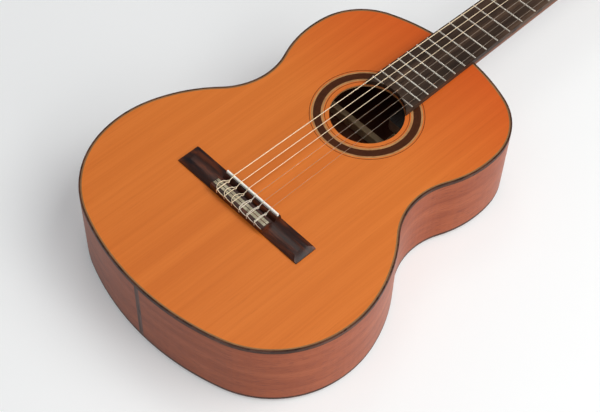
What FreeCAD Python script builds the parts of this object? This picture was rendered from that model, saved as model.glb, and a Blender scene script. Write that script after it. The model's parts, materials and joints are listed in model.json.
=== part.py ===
import FreeCAD, Part
import math
import os

# Six-string classical guitar lying on its back, built as its separate pieces.
# Frame: +Y runs along the neck to the head, +X is the treble side, +Z comes out of the
# soundboard. The origin is under the middle of the guitar, level with the lowest point
# of the arched back. All lengths are in millimetres and all angles in degrees.

os.makedirs("parts", exist_ok=True)
Vector = FreeCAD.Vector

# ---------------------------------------------------------------- driving dimensions
overall_length = 1000.0
scale_length = 650.0
saddle_from_tail = 163.5

# body outline, walked from the tail along the treble edge: radius and turn of each arc,
# negative where the waist curves inward; the shoulder arc closes the outline by itself
outline_arcs = [(315.5, 20), (119, 55.5), (135.7, 30), (189.6, 25.5), (-82.4, -65.5), (136, 32.5), (79.8, 60.5)]
body_top_z = 101.4
back_dome_radius = 5500.0
back_dome_from_saddle = 25.0

rib_thickness = 2.0
soundboard_thickness = 2.5
back_thickness = 2.8
top_binding_height = 4.5
back_binding_height = 3.5
purfling_width = 1.5
inlay_depth = 1.4
end_graft_width = 7.0
lining_height = 13.0
lining_width = 6.0

tail_block_half = 35.0
tail_block_depth = 14.0
neck_block_half = 31.0
foot_half = 22.7
foot_from_saddle = 239.0
foot_corner_radius = 9.0
foot_top_z = 24.0
tenon_half = 10.0
tenon_tip_half = 13.0
tenon_bottom_z = 24.0
harmonic_bar_reach = 58.0
back_braces_from_saddle = [-30.0, 95.0, 210.0]

soundhole_from_saddle = 176.0
soundhole_radius = 43.15
# inner and outer radius of the inlaid rings: thin line, wide band, thin line
rosette_rings = [(47.9, 48.6), (49.9, 63.6), (65.15, 65.85)]

fingerboard_thickness = 6.5
fingerboard_half_at_nut = 26.0
fingerboard_half_at_12th = 30.5
fret_count = 19
fret_crown_width = 2.4
fret_crown_height = 1.0
fret_tang_width = 0.6
fret_tang_depth = 2.0
nut_thickness = 5.0

neck_depth_at_nut = 15.5
neck_depth_at_heel = 17.5
neck_side_height = 3.0
heel_bottom_z = 8.2
heel_cap_thickness = 3.0

bridge_half_length = 93.5
bridge_front = 4.0
bridge_rear = 24.5
bridge_block_half = 41.0
saddle_half_length = 40.0
saddle_thickness = 2.8
saddle_top = 12.5
saddle_carrier_top = 9.0
tie_block_top = 9.6
tie_block_front = 10.2
tie_strip_half_length = 40.0
string_hole_height = 5.0

head_angle = 15.0
head_length = 187.4
head_half_width = 31.0
head_thickness = 18.0
veneer_thickness = 2.0
slot_inner_x = 7.0
slot_outer_x = 21.5
slot_start = 30.0
slot_end = 144.0
roller_stations = [58.0, 93.0, 128.0]
roller_depth = 9.0

# strings from the bass side to the treble side
string_names = ["string_e_low", "string_a", "string_d", "string_g", "string_b", "string_e_high"]
string_diameters = [1.10, 0.90, 0.76, 1.02, 0.82, 0.72]
string_spread_at_saddle = 59.0
string_spread_at_nut = 43.2
string_lift_at_nut = 0.7
string_wrap_x = [-18.5, -15.0, -11.5, 11.5, 15.0, 18.5]
string_wrap_turn = 290.0

# worm drive of one tuning machine
gear_teeth = 14
worm_pitch = 2.6
worm_pitch_radius = 2.6
worm_outer_radius = 3.3
worm_root_radius = 1.9
worm_half_length = 4.4
worm_steps_per_turn = 8
gear_addendum = 0.6
gear_dedendum = 0.85
gear_width = 4.0
mesh_backlash = 0.2
journal_radius = 1.8
running_clearance = 0.06
roller_radius = 4.95
roller_shaft_radius = 2.6
plate_thickness = 1.2
plate_half_height = 6.8
plate_start = 43.5
plate_end = 151.0
worm_stand_off = 3.6
lug_half_gap = 5.0
lug_thickness = 1.8
lug_radius = 3.3
screw_stations = [48.0, 78.2, 113.2, 146.5]
screw_radius = 1.2
screw_head_radius = 2.3
screw_length = 8.0
bore_end_x = 1.5
string_hole_x = 13.0
shaft_reach = 24.0
button_top = 14.0
button_height = 14.0
button_half_width = 9.5
button_half_thickness = 4.0

# ---------------------------------------------------------------- derived places
tail_y = -overall_length / 2
saddle_y = tail_y + saddle_from_tail
nut_y = saddle_y + scale_length
twelfth_y = nut_y - scale_length / 2
soundhole_y = saddle_y + soundhole_from_saddle
nut_rear_y = nut_y + nut_thickness
inside_top_z = body_top_z - soundboard_thickness
neck_block_y = saddle_y + 297
foot_end_y = saddle_y + foot_from_saddle
harmonic_bar_places = [soundhole_y - harmonic_bar_reach, soundhole_y + harmonic_bar_reach]
back_brace_places = [saddle_y + place for place in back_braces_from_saddle]
head_tilt = FreeCAD.Rotation(Vector(1, 0, 0), -head_angle)
head_frame = FreeCAD.Placement(Vector(0, nut_rear_y, body_top_z), head_tilt)
gear_pitch_radius = gear_teeth * worm_pitch / (2 * math.pi)
worm_offset = gear_pitch_radius + worm_pitch_radius + 0.05
drive_x = head_half_width + plate_thickness + worm_stand_off


def fingerboard_half(y):
    """Half width of the fingerboard and of the neck under it."""
    slope = (fingerboard_half_at_12th - fingerboard_half_at_nut) / (nut_y - twelfth_y)
    return fingerboard_half_at_nut + slope * (nut_y - y)


def fret_y(number):
    return saddle_y + scale_length * 2 ** (-number / 12)


def save(name, *solids):
    shape = solids[0] if len(solids) == 1 else Part.makeCompound(list(solids))
    shape.exportStep("parts/" + name + ".step")


def box(x0, x1, y0, y1, z0, z1):
    return Part.makeBox(x1 - x0, y1 - y0, z1 - z0, Vector(x0, y0, z0))


def extruded(points, direction):
    """Solid swept from a closed polygon along a straight direction."""
    wire = Part.makePolygon([Vector(*point) for point in points] + [Vector(*points[0])])
    return Part.Face(wire).extrude(Vector(*direction))


def in_head(shape):
    """Carry a shape from the head's own frame to the guitar's frame."""
    return shape.transformed(head_frame.toMatrix())


# ---------------------------------------------------------------- body outline
def treble_arcs(inset):
    """Start, middle and end of each treble-side arc, moved inward by the inset."""
    x, y, heading = 0.0, tail_y, 0.0
    arcs = []
    for radius, turn in outline_arcs:
        arcs.append(arc_points(x, y, heading, radius, turn, inset))
        x, y = arc_points(x, y, heading, radius, turn, 0)[2]
        heading += turn
    closing_radius = x / math.sin(math.radians(heading))
    arcs.append(arc_points(x, y, heading, closing_radius, 180 - heading, inset))
    return arcs


def arc_points(x, y, heading, radius, turn, inset):
    """Start, middle and end of an arc that leaves (x, y) along the heading, then inset."""
    angles = [math.radians(heading + turn * part) for part in (0, 0.5, 1)]
    centre_x, centre_y = x - radius * math.sin(angles[0]), y + radius * math.cos(angles[0])
    reach = radius - inset
    return [(centre_x + reach * math.sin(angle), centre_y - reach * math.cos(angle)) for angle in angles]


def outline_wire(inset, z):
    """Closed outline of the body, parallel to its edge at the given inset."""
    arcs = treble_arcs(inset)
    middle = arcs[1:-1]
    tail, shoulder = arcs[0], arcs[-1]
    paths = [[(-tail[2][0], tail[2][1]), tail[0], tail[2]]]
    paths += middle
    paths += [[shoulder[0], shoulder[2], (-shoulder[0][0], shoulder[0][1])]]
    paths += [[(-x, y) for x, y in reversed(arc)] for arc in reversed(middle)]
    edges = [Part.Arc(*[Vector(x, y, z) for x, y in path]).toShape() for path in paths]
    return Part.Wire(edges)


def body_prism(inset, z0, z1):
    return Part.Face(outline_wire(inset, z0)).extrude(Vector(0, 0, z1 - z0))


def edge_ring(outer_inset, inner_inset, z0, z1):
    return body_prism(outer_inset, z0, z1).cut(body_prism(inner_inset, z0 - 1, z1 + 1))


def dome(depth):
    """Ball whose underside is the arched back, moved inward by the depth."""
    ball = Part.makeSphere(back_dome_radius - depth)
    turned = FreeCAD.Rotation(Vector(0, 1, 0), -90)
    ball.Placement = FreeCAD.Placement(Vector(0, saddle_y + back_dome_from_saddle, back_dome_radius), turned)
    return ball


# ---------------------------------------------------------------- body box
def make_soundboard():
    bottom = body_top_z - soundboard_thickness
    board = body_prism(rib_thickness, bottom, body_top_z)
    centre = Vector(0, soundhole_y, bottom - 1)
    board = board.cut(Part.makeCylinder(soundhole_radius, soundboard_thickness + 2, centre))
    for ring in rosette():
        board = board.cut(ring)
    return board.cut(purfling_ring())


def rosette():
    """Rings let into the soundboard round the soundhole."""
    floor = Vector(0, soundhole_y, body_top_z - inlay_depth)
    rings = []
    for inner, outer in rosette_rings:
        ring = Part.makeCylinder(outer, inlay_depth, floor)
        rings.append(ring.cut(Part.makeCylinder(inner, inlay_depth, floor)))
    return rings


def purfling_ring():
    inner = rib_thickness + purfling_width
    floor = body_top_z - inlay_depth
    return body_prism(rib_thickness, floor, body_top_z).cut(body_prism(inner, floor, body_top_z))


def make_rib(side):
    """Bent side, from the end graft to the neck tenon; side is +1 for treble."""
    ring = edge_ring(0, rib_thickness, 0, body_top_z - top_binding_height)
    ring = ring.common(dome(back_binding_height))
    ring = ring.cut(box(-end_graft_width / 2, end_graft_width / 2, tail_y - 1, tail_y + 9, 0, body_top_z))
    ring = ring.cut(box(-tenon_half, tenon_half, -33, 9, 0, body_top_z))
    left = 0 if side > 0 else -200
    return ring.common(box(left, left + 200, tail_y - 1, 20, 0, body_top_z))


def make_end_graft():
    ring = edge_ring(0, rib_thickness, 0, body_top_z - top_binding_height).common(dome(back_binding_height))
    return ring.common(box(-end_graft_width / 2, end_graft_width / 2, tail_y - 1, tail_y + 9, 0, body_top_z))


def make_top_binding():
    return edge_ring(0, rib_thickness, body_top_z - top_binding_height, body_top_z)


def make_back_binding():
    return edge_ring(0, rib_thickness, -1, 30).common(dome(0)).cut(dome(back_binding_height))


def make_back_plate():
    return body_prism(rib_thickness, -1, 30).common(dome(0)).cut(dome(back_thickness))


def lining_core(z_wide, z_narrow):
    """Space inside a lining, which is wider away from the plate that the lining holds."""
    wide = outline_wire(rib_thickness + 1.6, z_wide)
    narrow = outline_wire(rib_thickness + lining_width, z_narrow)
    return Part.makeLoft([wide, narrow], True, True)


def make_top_lining():
    top = body_top_z - soundboard_thickness
    ring = body_prism(rib_thickness, top - lining_height, top).cut(lining_core(top - lining_height, top))
    return ring.cut(neck_block_solid()).cut(tail_block_solid())


def make_back_lining():
    band = body_prism(rib_thickness, 0, 40).common(dome(back_thickness))
    band = band.cut(dome(back_thickness + lining_height)).cut(lining_core(26, 2))
    return band.cut(neck_block_solid()).cut(tail_block_solid())


# ---------------------------------------------------------------- inside the body
def tail_block_solid():
    block = box(-tail_block_half, tail_block_half, tail_y - 1, tail_y + tail_block_depth, 0, inside_top_z)
    return block.common(body_prism(rib_thickness, 0, inside_top_z)).common(dome(back_thickness))


def neck_block_solid():
    """L-shaped block: an upright that holds the neck tenon and a foot on the back."""
    upright = box(-neck_block_half, neck_block_half, neck_block_y, 20, 0, inside_top_z)
    foot = box(-foot_half, foot_half, foot_end_y, neck_block_y + 2, 0, foot_top_z)
    corners = [edge for edge in foot.Edges if abs(edge.CenterOfMass.y - foot_end_y) < 0.1
               and abs(edge.CenterOfMass.x) > foot_half - 0.1 and edge.BoundBox.ZLength > 5]
    foot = foot.makeFillet(foot_corner_radius, corners)
    block = upright.fuse(foot).common(body_prism(rib_thickness, 0, inside_top_z))
    return block.common(dome(back_thickness)).removeSplitter()


def tenon_solid():
    """Dovetail tenon that stands out of the heel into the neck block."""
    right = [(tenon_half, 0), (tenon_half, -16), (tenon_tip_half, -33)]
    corners = right + [(-x, y) for x, y in reversed(right)]
    points = [(x, y, tenon_bottom_z) for x, y in corners]
    return extruded(points, (0, 0, body_top_z - top_binding_height - tenon_bottom_z))


def bar(half_length, width, height, y, toward, end_height):
    """Cross bar with its ends scooped down, standing along +Z or -Z from z = 0."""
    slope = half_length - 40
    right = [(half_length, 0), (half_length, end_height), (slope, height)]
    profile = right + [(-x, z) for x, z in reversed(right)]
    points = [(x, y - width / 2, toward * z) for x, z in profile]
    return extruded(points, (0, width, 0))


def make_harmonic_bars():
    inside = body_prism(rib_thickness + lining_width + 0.3, 0, body_top_z)
    bars = []
    for y in harmonic_bar_places:
        solid = bar(inner_half_width(y), 8, 17, y, -1, 5)
        solid.translate(Vector(0, 0, inside_top_z))
        bars.append(solid.common(inside))
    return bars


def make_back_braces():
    inside = body_prism(rib_thickness + lining_width + 0.3, 0, body_top_z)
    inside = inside.common(dome(back_thickness))
    bars = []
    for y in back_brace_places:
        solid = bar(inner_half_width(y), 8, 20, y, 1, 9)
        bars.append(solid.common(inside))
    return bars


def inner_half_width(y):
    """Half width of the body outline at a place along the guitar."""
    inside = Part.Face(outline_wire(rib_thickness + lining_width, 0))
    return inside.common(Part.makeLine(Vector(0, y, 0), Vector(250, y, 0))).BoundBox.XMax


def make_back_center_strip():
    strip = box(-7, 7, tail_y + tail_block_depth + 1, foot_end_y - 1, 0, 30)
    strip = strip.common(dome(back_thickness)).cut(dome(back_thickness + 2.2))
    for y in back_brace_places:
        strip = strip.cut(box(-8, 8, y - 4.5, y + 4.5, 0, 30))
    return strip.Solids


def make_fan_braces():
    """Seven struts that spread from below the soundhole, and two that close the fan."""
    inside = body_prism(rib_thickness + lining_width + 6, 0, body_top_z)
    hub = Vector(0, harmonic_bar_places[0] + 190, inside_top_z)
    struts = []
    for number in range(-3, 4):
        angle = 5.5 * number
        struts.append(strut(hub, angle, 204, 438))
    struts = [solid.common(inside) for solid in struts]
    for side in (-1, 1):
        start = Vector(0, tail_y + 32, inside_top_z)
        closing = strut(start, side * 122, 8, 118)
        for solid in struts:
            closing = closing.cut(solid)
        struts += closing.common(inside).Solids
    return struts


def strut(hub, angle, near, far):
    """Peaked strut under the soundboard, from one distance to another below a hub point."""
    peak, half, ramp = 5.0, 2.5, 25
    sections = [(near, 1.2), (near + ramp, peak), (far - ramp, peak), (far, 1.2)]
    wires = []
    for distance, height in sections:
        corners = [(-half, 0), (half, 0), (half, -height / 2), (0, -height), (-half, -height / 2)]
        wires.append(Part.makePolygon([Vector(x, -distance, z) for x, z in corners + corners[:1]]))
    solid = Part.makeLoft(wires, True, True)
    solid.Placement = FreeCAD.Placement(hub, FreeCAD.Rotation(Vector(0, 0, 1), angle))
    return solid


# ---------------------------------------------------------------- neck and fingerboard
def d_section(y, half, depth):
    """D-shaped neck section across Y: flat top, short sides and a half-ellipse below."""
    middle = Vector(0, 0, -neck_side_height)
    ellipse = Part.Ellipse(Vector(half, 0, -neck_side_height), Vector(0, 0, -depth), middle)
    below = Part.ArcOfEllipse(ellipse, 0, math.pi).toShape()
    right, left = below.Vertexes[0].Point, below.Vertexes[-1].Point
    top = Part.makePolygon([left, Vector(-half, 0, 0), Vector(half, 0, 0), right])
    wire = Part.Wire([below] + top.Edges)
    wire.translate(Vector(0, y, 0))
    return wire


def make_neck():
    """Shaft with a D section, the heel under its body end and a dovetail tenon."""
    stations = [(twelfth_y - 30, neck_depth_at_heel), (nut_rear_y + 8, neck_depth_at_nut)]
    wires = [d_section(y, fingerboard_half(y), depth) for y, depth in stations]
    shaft = Part.makeLoft(wires, True, True)
    shaft.translate(Vector(0, 0, body_top_z))
    shaft = shaft.cut(in_head(box(-60, 60, 0, 60, -60, 40)))
    heel = heel_solid().common(box(-60, 60, -60, 120, heel_bottom_z + heel_cap_thickness, body_top_z))
    neck = shaft.fuse(heel).cut(body_prism(0, -5, body_top_z + 5))
    return neck.fuse(tenon_solid().common(body_prism(0, 0, body_top_z))).removeSplitter()


def heel_solid():
    """Heel that sweeps down from the neck to the back and narrows towards its cap."""
    root_y = -22.0
    body_end_y = outline_wire(0, 0).BoundBox.YMax
    top_reach, cap_reach = 92.0, 23.0
    wires = []
    for step in range(8):
        drop = (step / 7) ** 1.5
        z = body_top_z - (body_top_z - heel_bottom_z) * drop
        half = fingerboard_half_at_12th - 18.5 * drop ** 0.9
        length = body_end_y - root_y + cap_reach + (top_reach - cap_reach) * math.exp(-9 * drop)
        wires.append(half_ellipse_wire(half, length, root_y, z))
    tiers = [Part.makeLoft([upper, lower], True, True) for upper, lower in zip(wires, wires[1:])]
    return tiers[0].multiFuse(tiers[1:])


def half_ellipse_wire(half, length, y, z):
    """Level section of the heel: a chord across the neck and half an ellipse towards the head."""
    middle = Vector(0, y, z)
    ends = (Vector(half, y, z), Vector(-half, y, z))
    if length > half:
        ellipse = Part.Ellipse(Vector(0, y + length, z), ends[1], middle)
        curve = Part.ArcOfEllipse(ellipse, -math.pi / 2, math.pi / 2)
    else:
        ellipse = Part.Ellipse(ends[0], Vector(0, y + length, z), middle)
        curve = Part.ArcOfEllipse(ellipse, 0, math.pi)
    return Part.Wire([curve.toShape(), Part.makeLine(ends[1], ends[0])])


def make_heel_cap():
    cap = heel_solid().common(box(-60, 60, -60, 60, heel_bottom_z, heel_bottom_z + heel_cap_thickness))
    return cap.cut(body_prism(0, -5, body_top_z))


def make_fingerboard():
    end_y = soundhole_y + 30
    right = [(fingerboard_half(end_y), end_y), (fingerboard_half_at_nut, nut_y)]
    corners = right + [(-x, y) for x, y in reversed(right)]
    board = extruded([(x, y, body_top_z) for x, y in corners], (0, 0, fingerboard_thickness))
    board = board.cut(fingerboard_end_arc(0))
    for number in range(1, fret_count + 1):
        half = fret_tang_width / 2
        y = fret_y(number)
        top = body_top_z + fingerboard_thickness
        board = board.cut(box(-50, 50, y - half, y + half, top - fret_tang_depth, top + 1))
    return board


def fingerboard_end_arc(gap):
    """Cylinder that scoops the end of the fingerboard along the edge of the soundhole."""
    return Part.makeCylinder(soundhole_radius + 0.45 + gap, 30, Vector(0, soundhole_y, body_top_z - 5))


def make_frets():
    frets = []
    base = body_top_z + fingerboard_thickness
    for number in range(1, fret_count + 1):
        y = fret_y(number)
        half = fingerboard_half(y) - 0.5
        crown = fret_crown_width / 2
        tang = fret_tang_width / 2
        arc = Part.Arc(Vector(-half, y + crown, base), Vector(-half, y, base + fret_crown_height),
                       Vector(-half, y - crown, base)).toShape()
        under = [(y - crown, 0), (y - tang, 0), (y - tang, -fret_tang_depth), (y + tang, -fret_tang_depth),
                 (y + tang, 0), (y + crown, 0)]
        rest = Part.makePolygon([Vector(-half, place, base + drop) for place, drop in under])
        fret = Part.Face(Part.Wire([arc] + rest.Edges)).extrude(Vector(2 * half, 0, 0))
        frets += fret.cut(fingerboard_end_arc(0.2)).Solids
    return frets


def make_nut():
    top = string_rest_z() + 1.1
    low, back = top - 1.2, nut_rear_y - 1.5
    profile = [(nut_y, body_top_z), (nut_rear_y, body_top_z), (nut_rear_y, low), (back, top), (nut_y, top)]
    half = fingerboard_half_at_nut
    nut = extruded([(-half, y, z) for y, z in profile], (2 * half, 0, 0))
    for index in range(6):
        radius = string_diameters[index] / 2 + running_clearance
        corner = nut_corner(index)
        for toward in (string_start(index), roller_touch(index)):
            along = (toward - corner).normalize()
            nut = nut.cut(Part.makeCylinder(radius, 12, corner - along, along))
    return nut


# ---------------------------------------------------------------- bridge
def bridge_profile(points):
    return [(0, saddle_y + y, body_top_z + z) for y, z in points]


def make_bridge():
    front, rear = bridge_front, -bridge_rear
    crown = bridge_profile([(front, 2.2), ((front + rear) / 2, 4.4), (rear, 2.2)])
    arch = Part.Arc(*[Vector(*point) for point in crown])
    foot = bridge_profile([(rear, 2.2), (rear, 0), (front, 0), (front, 2.2)])
    sides = Part.makePolygon([Vector(*point) for point in foot])
    wings = Part.Face(Part.Wire([arch.toShape()] + sides.Edges))
    wings.translate(Vector(-bridge_half_length, 0, 0))
    wings = wings.extrude(Vector(2 * bridge_half_length, 0, 0))
    for side in (-1, 1):
        inner, outer = side * (bridge_half_length - 9.5), side * (bridge_half_length + 0.5)
        bevel = [(inner, 5), (inner, 4.2), (outer, 1.2), (outer, 5)]
        wings = wings.cut(extruded([(x, saddle_y - 30, body_top_z + z) for x, z in bevel], (0, 40, 0)))
    block = [(front, 0), (front, 2.2), (2.9, 8.0), (2.4, saddle_carrier_top), (-2.6, saddle_carrier_top),
             (-6.6, 4.4), (-8.6, 3.6), (-tie_block_front, 3.6), (-tie_block_front, tie_block_top),
             (rear + 0.8, tie_block_top), (rear, tie_block_top - 0.8), (rear, 0)]
    block = extruded(bridge_profile(block), (bridge_block_half, 0, 0))
    block = block.fuse(block.mirror(Vector(0, 0, 0), Vector(1, 0, 0)))
    bridge = wings.fuse(block).removeSplitter()
    bridge = bridge.cut(saddle_solid())
    for strip in tie_block_strips():
        bridge = bridge.cut(strip)
    for index in range(6):
        start = Vector(string_x(index, saddle_y), saddle_y - bridge_rear - 1, body_top_z + string_hole_height)
        bridge = bridge.cut(Part.makeCylinder(0.9, bridge_rear - tie_block_front + 2, start, Vector(0, 1, 0)))
    return bridge


def saddle_solid():
    """Bone saddle with a rounded crown and rounded top corners."""
    half, low = saddle_half_length, saddle_carrier_top - 5
    corners = [(-half, low), (half, low), (half, saddle_top), (-half, saddle_top)]
    blade = extruded([(x, saddle_y - saddle_thickness / 2, body_top_z + z) for x, z in corners],
                     (0, saddle_thickness, 0))
    crown = [edge for edge in blade.Edges if edge.BoundBox.XLength > half
             and edge.CenterOfMass.z > body_top_z + saddle_top - 0.1]
    return blade.makeFillet(saddle_thickness / 2 - 0.15, crown)


def tie_block_strips():
    """Two bone strips let flush into the top of the tie block."""
    strips = []
    for y in (-13.0, -17.2):
        strips.append(box(-tie_strip_half_length, tie_strip_half_length, saddle_y + y - 3.2, saddle_y + y,
                          body_top_z + tie_block_top - 0.8, body_top_z + tie_block_top))
    return strips


# ---------------------------------------------------------------- strings
def string_x(index, y):
    """Sideways place of a string between the saddle and the nut."""
    part = (y - saddle_y) / scale_length
    spread = string_spread_at_saddle + (string_spread_at_nut - string_spread_at_saddle) * part
    return (index - 2.5) * spread / 5


def string_rest_z():
    """Height of the undersides of the strings at the nut."""
    return body_top_z + fingerboard_thickness + fret_crown_height + string_lift_at_nut


def roller_centre(index):
    station = roller_stations[min(index, 5 - index)]
    return head_frame.multVec(Vector(string_wrap_x[index], station, -roller_depth))


def rounded_path(points, bends):
    """Edges of straight runs through the points, joined by tangent arcs of the given radii."""
    edges = []
    start = points[0]
    for before, corner, after, bend in zip(points, points[1:], points[2:], bends):
        into = (corner - before).normalize()
        out = (after - corner).normalize()
        turn = into.getAngle(out)
        back = bend * math.tan(turn / 2)
        first, last = corner - into * back, corner + out * back
        middle = corner + (out - into).normalize() * (bend / math.cos(turn / 2) - bend)
        edges.append(Part.makeLine(start, first))
        edges.append(Part.Arc(first, middle, last).toShape())
        start = last
    edges.append(Part.makeLine(start, points[-1]))
    return edges


def nut_corner(index):
    """Point where a string bends down over the nut towards its roller."""
    return Vector(string_x(index, nut_y), nut_y + 3.4, string_rest_z() + string_diameters[index] / 2)


def string_start(index):
    """Point where a string leaves the crown of the saddle."""
    radius = string_diameters[index] / 2
    return Vector(string_x(index, saddle_y), saddle_y - 0.4, body_top_z + saddle_top + radius + 0.12)


def wrap_radius(index):
    return roller_radius + string_diameters[index] / 2 + 0.15


def roller_touch(index):
    """Point where a string first touches its roller."""
    centre = roller_centre(index)
    away = nut_corner(index) - centre
    angle = math.atan2(away.z, away.y) - math.acos(wrap_radius(index) / math.hypot(away.y, away.z))
    return centre + Vector(0, math.cos(angle), math.sin(angle)) * wrap_radius(index)


def string_edges(index):
    """Route of a string: over the tie block, through its hole, over saddle and nut, round its roller."""
    radius = string_diameters[index] / 2
    x = string_x(index, saddle_y)
    above = tie_block_top + radius + 0.05
    behind = -bridge_rear - radius - 0.2
    tie = [(-tie_block_front, above), (behind, above), (behind, string_hole_height)]
    tie += [(-9.2, string_hole_height), (-8.3, 9.0)]
    points = [Vector(x, saddle_y + y, body_top_z + z) for y, z in tie]
    touch = roller_touch(index)
    points += [string_start(index), nut_corner(index), touch]
    edges = rounded_path(points, [radius + 0.5, radius + 0.5, radius + 0.3, radius + 0.5, 2.0, 4.0])
    centre = roller_centre(index)
    along = (touch - nut_corner(index)).normalize()
    outward = (touch - centre).normalize()
    turns = [math.radians(string_wrap_turn) * step / 4 for step in range(5)]
    spokes = [outward * math.cos(turn) + along * math.sin(turn) for turn in turns]
    rim = [centre + spoke * wrap_radius(index) for spoke in spokes]
    edges.append(Part.Arc(rim[0], rim[1], rim[2]).toShape())
    edges.append(Part.Arc(rim[2], rim[3], rim[4]).toShape())
    return edges


def make_string(index):
    """Sweep of a small eight-sided section, which the short bends repeat many times."""
    edges = string_edges(index)
    radius = string_diameters[index] / 2
    start = edges[0].Vertexes[0].Point
    corners = []
    for corner in range(9):
        turn = math.radians(45 * corner + 22.5)
        corners.append(start + Vector(math.cos(turn), 0, math.sin(turn)) * radius)
    return Part.Wire(edges).makePipe(Part.Face(Part.makePolygon(corners)))


# ---------------------------------------------------------------- head
def head_outline():
    """Plain head: sides that flare from the nut, and a low crest between two scoops."""
    nut_half, half = fingerboard_half_at_nut, head_half_width
    crest_y = head_length - 24
    flare = Part.BezierCurve()
    poles = [(nut_half, 0), (nut_half, 14), (half, 10), (half, 26)]
    flare.setPoles([Vector(x, y, 0) for x, y in poles])
    straight = Part.makeLine(Vector(half, 26, 0), Vector(half, crest_y, 0))
    corner = flat_arc((half, crest_y), (half - 2, crest_y + 6), (half - 7, crest_y + 9))
    scoop = flat_arc((half - 7, crest_y + 9), (half - 12, crest_y + 11.2), (half - 15.5, crest_y + 15.5))
    right = [flare.toShape(), straight, corner, scoop]
    crest = flat_arc((half - 15.5, crest_y + 15.5), (0, head_length), (15.5 - half, crest_y + 15.5))
    left = [edge.mirror(Vector(0, 0, 0), Vector(1, 0, 0)) for edge in right]
    foot = Part.makeLine(Vector(-nut_half, 0, 0), Vector(nut_half, 0, 0))
    return Part.Wire(Part.__sortEdges__(right + [crest, foot] + left))


def flat_arc(start, middle, end):
    return Part.Arc(Vector(*start, 0), Vector(*middle, 0), Vector(*end, 0)).toShape()


def head_cutters():
    """Two string slots with round ends, and the ramp at the nut end of each."""
    cutters = []
    for side in (-1, 1):
        middle = side * (slot_inner_x + slot_outer_x) / 2
        round_end = (slot_outer_x - slot_inner_x) / 2
        low = -head_thickness - 1
        height = head_thickness + veneer_thickness + 2
        ends = (slot_start + round_end, slot_end - round_end)
        slot = box(middle - round_end, middle + round_end, ends[0], ends[1], low, low + height)
        for y in ends:
            slot = slot.fuse(Part.makeCylinder(round_end, height, Vector(middle, y, low)))
        ramp = [(14, 3), (33, -6.5), (40, -6.5), (40, 3)]
        ramp = extruded([(middle - 6.5, y, z) for y, z in ramp], (13, 0, 0))
        cutters.append(slot.fuse(ramp))
    return cutters


def make_headstock():
    block = Part.Face(head_outline()).extrude(Vector(0, 0, -head_thickness))
    tilted = math.cos(math.radians(head_angle))
    root = d_section(0, fingerboard_half_at_nut, neck_depth_at_nut / tilted)
    spread = d_section(slot_start, 2 * head_half_width, 1.7 * head_thickness)
    rounded_back = Part.makeLoft([root, spread], True, True)
    block = block.common(rounded_back.fuse(box(-60, 60, slot_start, head_length + 5, -40, 10)))
    for cutter in head_cutters():
        block = block.cut(cutter)
    bore_radius = roller_radius + running_clearance
    for side in (-1, 1):
        for station in roller_stations:
            start = Vector(side * bore_end_x, station, -roller_depth)
            block = block.cut(Part.makeCylinder(bore_radius, 40, start, Vector(side, 0, 0)))
        for station in screw_stations:
            start = Vector(side * (head_half_width - screw_length), station, -roller_depth)
            block = block.cut(Part.makeCylinder(screw_radius, 40, start, Vector(side, 0, 0)))
    return in_head(block)


def make_headplate():
    """Veneer on the face of the head, bevelled to meet the back of the nut."""
    veneer = Part.Face(head_outline()).extrude(Vector(0, 0, veneer_thickness))
    veneer = veneer.fuse(box(-fingerboard_half_at_nut, fingerboard_half_at_nut, -2, 0, 0, veneer_thickness))
    for cutter in head_cutters():
        veneer = veneer.cut(cutter)
    veneer = in_head(veneer.removeSplitter())
    return veneer.cut(box(-60, 60, nut_y - 20, nut_rear_y, 0, 150))


# ---------------------------------------------------------------- tuning machines
def make_tuner_plate(side):
    """Side plate with a round hole for each roller shaft and two bearing lugs for each worm."""
    half = plate_half_height
    centre_z = -roller_depth
    ends = (plate_start + half, plate_end - half)
    inner = head_half_width
    outward = Vector(1, 0, 0)
    bearing_radius = roller_shaft_radius + running_clearance
    plate = box(inner, inner + plate_thickness, ends[0], ends[1], centre_z - half, centre_z + half)
    for y in ends:
        start = Vector(inner, y, centre_z)
        plate = plate.fuse(Part.makeCylinder(half, plate_thickness, start, outward))
    for station in roller_stations:
        for toward in (-1, 1):
            plate = plate.fuse(bearing_lug(station + worm_offset, toward))
    for station in roller_stations:
        start = Vector(inner - 1, station, centre_z)
        plate = plate.cut(Part.makeCylinder(bearing_radius, 5, start, outward))
        start = Vector(drive_x, station + worm_offset, centre_z - 10)
        plate = plate.cut(Part.makeCylinder(journal_radius + running_clearance, 20, start))
    for station in screw_stations:
        start = Vector(inner - 1, station, centre_z)
        plate = plate.cut(Part.makeCylinder(screw_radius, 5, start, outward))
    plate = plate.removeSplitter()
    if side < 0:
        plate = plate.mirror(Vector(0, 0, 0), Vector(1, 0, 0))
    return in_head(plate)


def bearing_lug(y, toward):
    """Ear that stands out from the plate and carries one end of the worm shaft."""
    low = -roller_depth + (lug_half_gap if toward > 0 else -lug_half_gap - lug_thickness)
    lug = box(head_half_width + 0.2, drive_x, y - lug_radius, y + lug_radius, low, low + lug_thickness)
    return lug.fuse(Part.makeCylinder(lug_radius, lug_thickness, Vector(drive_x, y, low)))


def make_plate_screws():
    """Round-head wood screws that hold the two plates to the sides of the head."""
    screws = []
    for side in (-1, 1):
        outward = Vector(side, 0, 0)
        for station in screw_stations:
            tip = Vector(side * (head_half_width - screw_length), station, -roller_depth)
            seat = tip + outward * (screw_length + plate_thickness)
            shank = Part.makeCylinder(screw_radius, screw_length + plate_thickness, tip, outward)
            head = Part.makeCone(screw_head_radius, screw_head_radius * 0.6, 1.3, seat, outward)
            screws.append(in_head(head.fuse(shank)))
    return screws


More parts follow.
